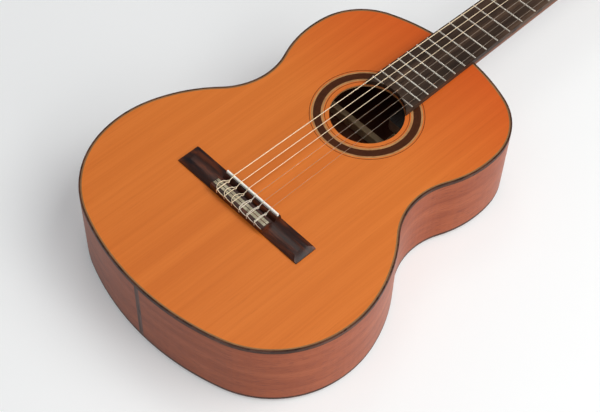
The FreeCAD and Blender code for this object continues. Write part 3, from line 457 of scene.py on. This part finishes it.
def slotCutter(node, slot):
    # a bar laid across the outer face of a piece that stands out sideways from the head
    low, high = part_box(node)
    middle = (low + high) / 2
    face = high.x if middle.x > 0 else low.x
    size = (2 * slot["depth"] * mm, slot["length"] * mm, slot["width"] * mm)
    bar = linkMesh(node + "Slot", boxMesh(node + "Slot", size))
    turn = Matrix.Rotation(math.radians(slot["turn"]), 4, "X")
    bar.matrix_world = Matrix.Translation((face, middle.y, middle.z)) @ turn
    return bar


def easedCopy(node, easing):
    shape = bmesh.new()
    shape.from_mesh(frame["nodes"][node].data)
    bmesh.ops.remove_doubles(shape, verts=shape.verts, dist=mergeDistance)
    if easing:
        bmesh.ops.dissolve_limit(shape, angle_limit=math.radians(flatAngle), verts=shape.verts, edges=shape.edges)
    mesh = bpy.data.meshes.new(node + "Shape")
    shape.to_mesh(mesh)
    shape.free()
    piece = linkMesh(node + "_finished", mesh)
    smoothMesh(mesh, easing.get("smooth", creaseAngle) if easing else creaseAngle)
    if not easing:
        flattenPlanes(mesh)
    else:
        if "slot" in easing:
            # the slot is cut before the edges are eased
            cutter = slotCutter(node, easing["slot"])
            cut = piece.modifiers.new("screwSlot", "BOOLEAN")
            cut.object = cutter
            cut.solver = "EXACT"
        bevel = piece.modifiers.new("easedEdges", "BEVEL")
        bevel.width = easing["width"] * mm
        bevel.segments = easing.get("segments", 2)
        bevel.limit_method = "ANGLE"
        bevel.angle_limit = math.radians(easing.get("angle", 35))
        bevel.use_clamp_overlap = True
        flats = piece.modifiers.new("flatFaces", "WEIGHTED_NORMAL")
        flats.keep_sharp = "smooth" in easing
        applied(piece)
        if "slot" in easing:
            bpy.data.objects.remove(cutter)
    piece.data.materials.clear()
    piece.data.materials.append(finishOf[node])
    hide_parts(node)
    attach(piece, bodyOf[node])
    return piece


# how far each piece's edges are eased, in millimetres; slot cuts the screw slot of a gear, turned by some degrees
easings = {
    "bridge": {"width": 0.4, "smooth": 10}, "saddle": {"width": 0.25}, "nut": {"width": 0.35},
    "fingerboard": {"width": 0.3}, "headstock": {"width": 0.9, "angle": 50}, "headplate": {"width": 0.35, "angle": 50},
    "heel_cap": {"width": 0.4}, "tuner_plate_treble": {"width": 0.2, "angle": 50},
    "tuner_plate_bass": {"width": 0.2, "angle": 50}, "harmonic_bars": {"width": 0.8}, "back_braces": {"width": 1.2},
    "fan_braces": {"width": 0.5}, "neck_block": {"width": 0.8}}
gearScrewTurns = (20, 75, 130, 160, 40, 100)
for label, turn in zip(stringLabels, gearScrewTurns):
    easings["button_" + label] = {"width": 1.3, "segments": 4, "angle": 20}
    easings["gear_" + label] = {"width": 0.12, "slot": {"width": 0.7, "depth": 0.6, "length": 8.0, "turn": turn}}
    easings["roller_" + label] = {"width": 0.3}
    easings["worm_shaft_" + label] = None

carried = [node for node in slotOf if not node.startswith("string_") and node != "plate_screws"]
for node in carried:
    easedCopy(node, easings.get(node))
print("pieces carried over from the frame:", len(carried))


# node trees: sockets by name and kind, then their wires
def startTree(name, inputs):
    tree = bpy.data.node_groups.new(name, "GeometryNodeTree")
    for label, kind in inputs.items():
        tree.interface.new_socket(label, in_out="INPUT", socket_type="NodeSocket" + kind)
    tree.interface.new_socket("Geometry", in_out="OUTPUT", socket_type="NodeSocketGeometry")
    return tree, addNode(tree, "NodeGroupInput"), addNode(tree, "NodeGroupOutput")


def finishTree(tree, entry, result, geometry):
    realize = addNode(tree, "GeometryNodeRealizeInstances")
    dress = addNode(tree, "GeometryNodeSetMaterial")
    wire(tree, geometry, realize.inputs["Geometry"])
    wire(tree, realize.outputs["Geometry"], dress.inputs["Geometry"])
    wire(tree, entry.outputs["Material"], dress.inputs["Material"])
    wire(tree, dress.outputs["Geometry"], result.inputs["Geometry"])
    return tree


def setInputs(modifier, values):
    for item in modifier.node_group.interface.items_tree:
        if item.item_type == "SOCKET" and item.in_out == "INPUT" and item.name in values:
            modifier[item.identifier] = values[item.name]


# slotted round-head screws, one on each screw place of the two plates
screwLook = {"headRadius": 2.28, "headHeight": 1.28, "shankRadius": 1.15, "length": 9.0, "slotWidth": 0.5,
             "slotDepth": 0.55, "slotLength": 8.0, "standOut": 1.3, "sides": 28, "seed": 4}


def screwShape():
    rim, rise, shank = screwLook["headRadius"], screwLook["headHeight"], screwLook["shankRadius"]
    tip = -screwLook["length"]
    profile = [(0, tip), (shank * 0.5, tip + 0.6), (shank, tip + 2.4), (shank, 0), (rim, 0)]
    for degrees in (0, 22, 44, 66, 90):
        angle = math.radians(degrees)
        profile.append((rim * math.cos(angle), rise * (0.2 + 0.8 * math.sin(angle))))
    shape = bmesh.new()
    corners = [shape.verts.new((reach * mm, 0, height * mm)) for reach, height in profile]
    edges = [shape.edges.new(pair) for pair in zip(corners, corners[1:])]
    bmesh.ops.spin(shape, geom=corners + edges, cent=(0, 0, 0), axis=(0, 0, 1), angle=2 * math.pi,
                   steps=screwLook["sides"])
    bmesh.ops.remove_doubles(shape, verts=shape.verts, dist=1e-5)
    bmesh.ops.recalc_face_normals(shape, faces=shape.faces)
    mesh = bpy.data.meshes.new("slottedScrew")
    shape.to_mesh(mesh)
    shape.free()
    piece = linkMesh("slottedScrew", mesh)
    size = (screwLook["slotLength"] * mm, screwLook["slotWidth"] * mm, 2 * screwLook["slotDepth"] * mm)
    bar = linkMesh("screwDriverSlot", boxMesh("screwDriverSlot", size))
    bar.location.z = rise * mm
    cut = piece.modifiers.new("slot", "BOOLEAN")
    cut.object = bar
    cut.solver = "EXACT"
    applied(piece)
    bpy.data.objects.remove(bar)
    smoothMesh(piece.data)
    return piece


def screwTree():
    # stands one screw on every point, turned to the point's own outward direction and by chance about its axis
    tree, entry, result = startTree(
        "screwsOnPlates", {"Geometry": "Geometry", "Screw": "Object", "Seed": "Int", "Material": "Material"})
    info = addNode(tree, "GeometryNodeObjectInfo", {"As Instance": True})
    outward = addNode(tree, "GeometryNodeInputNamedAttribute", {"Name": "outward"}, data_type="FLOAT_VECTOR")
    stand = addNode(tree, "FunctionNodeAlignRotationToVector", axis="Z")
    chance = addNode(tree, "FunctionNodeRandomValue", data_type="FLOAT")
    chance.inputs[2].default_value, chance.inputs[3].default_value = 0.0, math.pi
    spin = addNode(tree, "FunctionNodeAxisAngleToRotation", {"Axis": (0, 0, 1)})
    both = addNode(tree, "FunctionNodeRotateRotation", rotation_space="LOCAL")
    place = addNode(tree, "GeometryNodeInstanceOnPoints")
    wire(tree, entry.outputs["Screw"], info.inputs["Object"])
    wire(tree, entry.outputs["Seed"], chance.inputs["Seed"])
    wire(tree, outward.outputs["Attribute"], stand.inputs["Vector"])
    wire(tree, chance.outputs[1], spin.inputs["Angle"])
    wire(tree, stand.outputs["Rotation"], both.inputs["Rotation"])
    wire(tree, spin.outputs["Rotation"], both.inputs["Rotate By"])
    wire(tree, entry.outputs["Geometry"], place.inputs["Points"])
    wire(tree, info.outputs["Geometry"], place.inputs["Instance"])
    wire(tree, both.outputs["Rotation"], place.inputs["Rotation"])
    return finishTree(tree, entry, result, place.outputs["Instances"])


def screwPlaces():
    # where each separate screw of the frame's node meets its plate, and which way it looks
    shape = bmesh.new()
    shape.from_mesh(frame["nodes"]["plate_screws"].data)
    bmesh.ops.remove_doubles(shape, verts=shape.verts, dist=mergeDistance)
    shape.verts.index_update()
    seen, places = set(), []
    for start in shape.verts:
        if start.index in seen:
            continue
        island, edge = [], [start]
        seen.add(start.index)
        while edge:
            vert = edge.pop()
            island.append(vert)
            for link in vert.link_edges:
                other = link.other_vert(vert)
                if other.index not in seen:
                    seen.add(other.index)
                    edge.append(other)
        low = [min(v.co[k] for v in island) for k in range(3)]
        high = [max(v.co[k] for v in island) for k in range(3)]
        side = 1 if low[0] + high[0] > 0 else -1
        seat = (high[0] if side > 0 else low[0]) - side * screwLook["standOut"] * mm
        places.append((Vector((seat, (low[1] + high[1]) / 2, (low[2] + high[2]) / 2)), Vector((side, 0, 0))))
    shape.free()
    return places


def makeScrews():
    places = screwPlaces()
    mesh = bpy.data.meshes.new("screwPlaces")
    mesh.from_pydata([place for place, _ in places], [], [])
    directions = mesh.attributes.new("outward", "FLOAT_VECTOR", "POINT")
    for item, (_, outward) in zip(directions.data, places):
        item.vector = outward
    screw = screwShape()
    piece = linkMesh("plate_screws_finished", mesh)
    modifier = piece.modifiers.new("screws", "NODES")
    modifier.node_group = screwTree()
    setInputs(modifier, {"Screw": screw, "Seed": screwLook["seed"], "Material": finishOf["plate_screws"]})
    applied(piece)
    bpy.data.objects.remove(screw)
    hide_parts("plate_screws")
    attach(piece, bodyOf["plate_screws"])
    print("plate screws:", len(places))


makeScrews()


# strings: tie, straight run, turns on the roller
stringLook = {
    "diameters": [1.10, 0.90, 0.76, 1.02, 0.82, 0.72], "spreadAtSaddle": 59.0, "spreadAtNut": 43.2,
    "turnPlaces": [-18.5, -15.0, -11.5, 11.5, 15.0, 18.5], "bulge": [5.2, 5.0, 4.8, 2.6, 1.6, 1.2],
    "nutLift": 1.7, "nutBend": 3.4, "rollerGap": 0.15, "woundDegrees": 290, "sides": 14, "smooth": 60}


def pathTree():
    # sweeps a round section along the curve and keeps the length along it
    tree, entry, result = startTree(
        "roundAlongPath", {"Geometry": "Geometry", "Radius": "Float", "Sides": "Int", "Material": "Material"})
    along = addNode(tree, "GeometryNodeSplineParameter")
    store = addNode(tree, "GeometryNodeStoreNamedAttribute", {"Name": "alongString"},
                    data_type="FLOAT", domain="POINT")
    section = addNode(tree, "GeometryNodeCurvePrimitiveCircle")
    sweep = addNode(tree, "GeometryNodeCurveToMesh", {"Fill Caps": True})
    wire(tree, entry.outputs["Geometry"], store.inputs["Geometry"])
    wire(tree, along.outputs["Length"], store.inputs["Value"])
    wire(tree, entry.outputs["Radius"], section.inputs["Radius"])
    wire(tree, entry.outputs["Sides"], section.inputs["Resolution"])
    wire(tree, store.outputs["Geometry"], sweep.inputs["Curve"])
    wire(tree, section.outputs["Curve"], sweep.inputs["Profile Curve"])
    return finishTree(tree, entry, result, sweep.outputs["Mesh"])


roundAlongPath = pathTree()


def sweptPiece(name, points, radius, sides, material):
    curve = bpy.data.curves.new(name + "Route", "CURVE")
    curve.dimensions = "3D"
    spline = curve.splines.new("POLY")
    spline.points.add(len(points) - 1)
    for place, point in zip(spline.points, points):
        place.co = (*point, 1)
    route = bpy.data.objects.new(name + "Route", curve)
    scene.collection.objects.link(route)
    modifier = route.modifiers.new("sweep", "NODES")
    modifier.node_group = roundAlongPath
    setInputs(modifier, {"Radius": radius, "Sides": sides, "Material": material})
    bpy.context.view_layer.update()
    mesh = bpy.data.meshes.new_from_object(route.evaluated_get(bpy.context.evaluated_depsgraph_get()))
    bpy.data.objects.remove(route)
    piece = linkMesh(name, mesh)
    smoothMesh(mesh, stringLook["smooth"])
    return piece


def roundedRoute(points, bends, stepAngle=12):
    # straight runs joined by arcs that touch both runs
    route = [points[0]]
    for before, corner, after, bend in zip(points, points[1:], points[2:], bends):
        into, out = (corner - before).normalized(), (after - corner).normalized()
        turn = into.angle(out)
        if turn < 0.01:
            route.append(corner)
            continue
        back = min(bend * math.tan(turn / 2), (corner - before).length * 0.49, (after - corner).length * 0.49)
        radius = back / math.tan(turn / 2)
        axis = into.cross(out).normalized()
        centre = corner - into * back + axis.cross(into) * radius
        arm = corner - into * back - centre
        steps = max(2, math.ceil(math.degrees(turn) / stepAngle))
        for step in range(steps + 1):
            route.append(centre + Matrix.Rotation(turn * step / steps, 3, axis) @ arm)
    route.append(points[-1])
    return route


def smoothRoute(points, perSpan=8):
    # a curve through every point, for the loose parts of a tie
    padded = [points[0] * 2 - points[1]] + points + [points[-1] * 2 - points[-2]]
    route = []
    for a, b, c, d in zip(padded, padded[1:], padded[2:], padded[3:]):
        for step in range(perSpan):
            t = step / perSpan
            route.append(0.5 * ((2 * b) + (c - a) * t + (2 * a - 5 * b + 4 * c - d) * t * t
                                + (3 * b - a - 3 * c + d) * t ** 3))
    route.append(points[-1])
    return route


saddleLow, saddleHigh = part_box("saddle")
saddleMiddle = (saddleLow + saddleHigh) / 2
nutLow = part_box("nut")[0]
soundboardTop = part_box("soundboard")[1].z
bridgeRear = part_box("bridge")[0].y
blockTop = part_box("tie_block_strips")[1].z
holeHeight = soundboardTop + 5 * mm  # of the holes through the tie block


def stringPlace(index, y):
    part = (y - saddleMiddle.y) / (nutLow.y - saddleMiddle.y)
    spread = stringLook["spreadAtSaddle"] + (stringLook["spreadAtNut"] - stringLook["spreadAtSaddle"]) * part
    return (index - 2.5) * spread / 5 * mm


def nutString(index):
    # height of a string's middle where it crosses the nut
    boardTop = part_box("fingerboard")[1].z
    return boardTop + stringLook["nutLift"] * mm + stringLook["diameters"][index] / 2 * mm


def makeString(index):
    label = stringLabels[index]
    radius = stringLook["diameters"][index] / 2 * mm
    x = stringPlace(index, saddleMiddle.y)
    y = saddleMiddle.y
    rear = bridgeRear
    over = blockTop + radius + 0.05 * mm
    bulge = stringLook["bulge"][index] * mm
    knot = Vector((x, y - 8.4 * mm, blockTop - 0.3 * mm))
    # the loose end behind the tie block, its bow over the block, the loop round the string, the firm run to the nut
    tail = [Vector((x + 10.4 * mm, rear - radius * 0.4, over - 1.9 * mm)),
            Vector((x + 5.5 * mm, rear - radius * 0.6, over - 1.4 * mm)),
            Vector((x + 1.2 * mm, rear + radius * 0.2, over - 0.5 * mm)),
            Vector((x - 1.4 * mm, rear + 1.2 * mm, over)),
            Vector((x - bulge * 0.75, rear + 3.6 * mm, over + 0.1 * mm)),
            Vector((x - bulge, y - 16.5 * mm, over + 0.2 * mm)),
            Vector((x - bulge * 0.72, y - 11.6 * mm, over + 0.15 * mm)),
            Vector((x - bulge * 0.3, y - 9.3 * mm, over - 0.1 * mm))]
    hook = radius * 2 + 0.1 * mm
    loop = [knot + Vector((-hook, 0, 0.9 * mm)), knot + Vector((-hook * 0.2, 0.9 * mm, hook * 0.9 + 0.3 * mm)),
            knot + Vector((hook, 0.5 * mm, 0.2 * mm)), knot + Vector((hook * 0.7, -0.4 * mm, -0.2 * mm))]
    back = [Vector((x + radius * 0.8, y - 10.0 * mm, over)), Vector((x, y - 12.5 * mm, over))]
    loose = smoothRoute(tail + loop + back)
    behind = rear - radius - 0.25 * mm
    low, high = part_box("roller_" + label)
    rollerCentre = Vector((stringLook["turnPlaces"][index] * mm, (low.y + high.y) / 2, (low.z + high.z) / 2))
    turnRadius = (high.z - low.z) / 2 + radius + stringLook["rollerGap"] * mm
    nutCorner = Vector((stringPlace(index, nutLow.y), nutLow.y + stringLook["nutBend"] * mm, nutString(index)))
    away = nutCorner - rollerCentre
    angle = math.atan2(away.z, away.y) - math.acos(turnRadius / math.hypot(away.y, away.z))
    touch = rollerCentre + Vector((0, math.cos(angle), math.sin(angle))) * turnRadius
    firm = [Vector((x, y - 12.5 * mm, over)), Vector((x, behind, over)), Vector((x, behind, holeHeight)),
            Vector((x, y - 9.2 * mm, holeHeight)), Vector((x, y - 8.3 * mm, soundboardTop + 9 * mm)),
            Vector((x, y - 0.4 * mm, saddleHigh.z + radius + 0.12 * mm)), nutCorner, touch]
    bends = [radius + 0.5 * mm, radius + 0.5 * mm, radius + 0.3 * mm, radius + 0.5 * mm, 2 * mm, 4 * mm]
    route = loose[:-1] + roundedRoute(firm, bends)
    for degrees in range(10, stringLook["woundDegrees"] + 10, 10):
        turned = angle - math.radians(degrees)
        route.append(rollerCentre + Vector((0, math.cos(turned), math.sin(turned))) * turnRadius)
    node = "string_" + label
    piece = sweptPiece(node + "_finished", route, radius, stringLook["sides"], finishOf[node])
    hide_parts(node)
    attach(piece, bodyOf[node])
    return piece


for index in range(len(stringLabels)):
    makeString(index)
print("strings tied and wound")


# floor, light and camera
stageLook = {"size": 14.0, "drop": 0.0005, "color": (0.735, 0.755, 0.762), "roughness": 0.85, "gloss": 0.1,
             "lift": 0.215, "skyColor": (0.93, 0.95, 1.0, 1), "skyStrength": 0.26}


def makeFloor():
    half = stageLook["size"] / 2
    mesh = bpy.data.meshes.new("floorShape")
    mesh.from_pydata([(-half, -half, 0), (half, -half, 0), (half, half, 0), (-half, half, 0)], [], [(0, 1, 2, 3)])
    floor = linkMesh("floor", mesh)
    floor.location.z = -stageLook["drop"]
    material, tree, shader = startMaterial("paleFloor")
    coords = addNode(tree, "ShaderNodeTexCoord").outputs["Object"]
    cloud = stretchedNoise(tree, coords, (1.5, 1.5, 1.5), 2.0, 0.5)
    base = stageLook["color"]
    color = ramp(tree, cloud, [(0.3, tuple(c * 0.985 for c in base)), (0.7, base)])
    wire(tree, color, shader.inputs["Base Color"])
    shader.inputs["Roughness"].default_value = stageLook["roughness"]
    shader.inputs["Specular IOR Level"].default_value = stageLook["gloss"]
    shader.inputs["Emission Color"].default_value = (1, 1, 1, 1)
    path = addNode(tree, "ShaderNodeLightPath")
    seen = mathNode(tree, "MAXIMUM", path.outputs["Is Camera Ray"], path.outputs["Is Glossy Ray"])
    seen = mathNode(tree, "MAXIMUM", seen, path.outputs["Is Transmission Ray"])
    wire(tree, mathNode(tree, "MULTIPLY", seen, stageLook["lift"]), shader.inputs["Emission Strength"])
    mesh.materials.append(material)


lamps = {
    "key": {"place": (1.5, 0.75, 2.6), "aim": (0, -0.2, 0.05), "size": 2.2, "power": 63, "color": (1.0, 0.98, 0.95)},
    "side": {"place": (2.6, -0.5, 1.3), "aim": (0.1, -0.3, 0.05), "size": 1.8, "power": 37, "color": (1.0, 0.97, 0.95)},
    "ceiling": {"place": (-0.1, -1.35, 2.4), "aim": (0, -0.2, 0.05), "size": 0.9, "power": 2.5, "color": (1, 1, 1)},
    "far": {"place": (-0.92, 0.45, 2.4), "aim": (0, 0.2, 0.05), "size": 0.8, "power": 4, "color": (1.0, 0.98, 0.94)}}


def makeLamps():
    for name, look in lamps.items():
        light = bpy.data.lights.new(name, "AREA")
        light.shape = "SQUARE"
        light.size = look["size"]
        light.energy = look["power"]
        light.color = look["color"]
        lamp = bpy.data.objects.new(name, light)
        lamp.location = look["place"]
        aim = Vector(look["aim"]) - lamp.location
        lamp.rotation_euler = aim.to_track_quat("-Z", "Y").to_euler()
        scene.collection.objects.link(lamp)


def makeWorld():
    world = bpy.data.worlds.new("studio")
    scene.world = world
    world.use_nodes = True
    background = world.node_tree.nodes["Background"]
    background.inputs["Color"].default_value = stageLook["skyColor"]
    background.inputs["Strength"].default_value = stageLook["skyStrength"]


view = {"place": (0.664, -0.94243, 1.3144), "aim": (0.04173, -0.30562, 0.1014), "roll": 2.320, "lens": 84.0265,
        "sensor": 36, "near": 0.05}


def makeCamera():
    camera = bpy.data.cameras.new("camera")
    camera.lens = view["lens"]
    camera.sensor_width = view["sensor"]
    camera.clip_start = view["near"]
    eye = bpy.data.objects.new("camera", camera)
    place, aim = Vector(view["place"]), Vector(view["aim"])
    roll = Matrix.Rotation(math.radians(view["roll"]), 3, "Z")
    turn = (aim - place).to_track_quat("-Z", "Y").to_matrix() @ roll
    eye.matrix_world = Matrix.LocRotScale(place, turn.to_quaternion(), None)
    scene.collection.objects.link(eye)
    scene.camera = eye


makeFloor()
makeLamps()
makeWorld()
makeCamera()
scene.view_settings.view_transform = "Standard"
print("stage, lamps and camera ready")
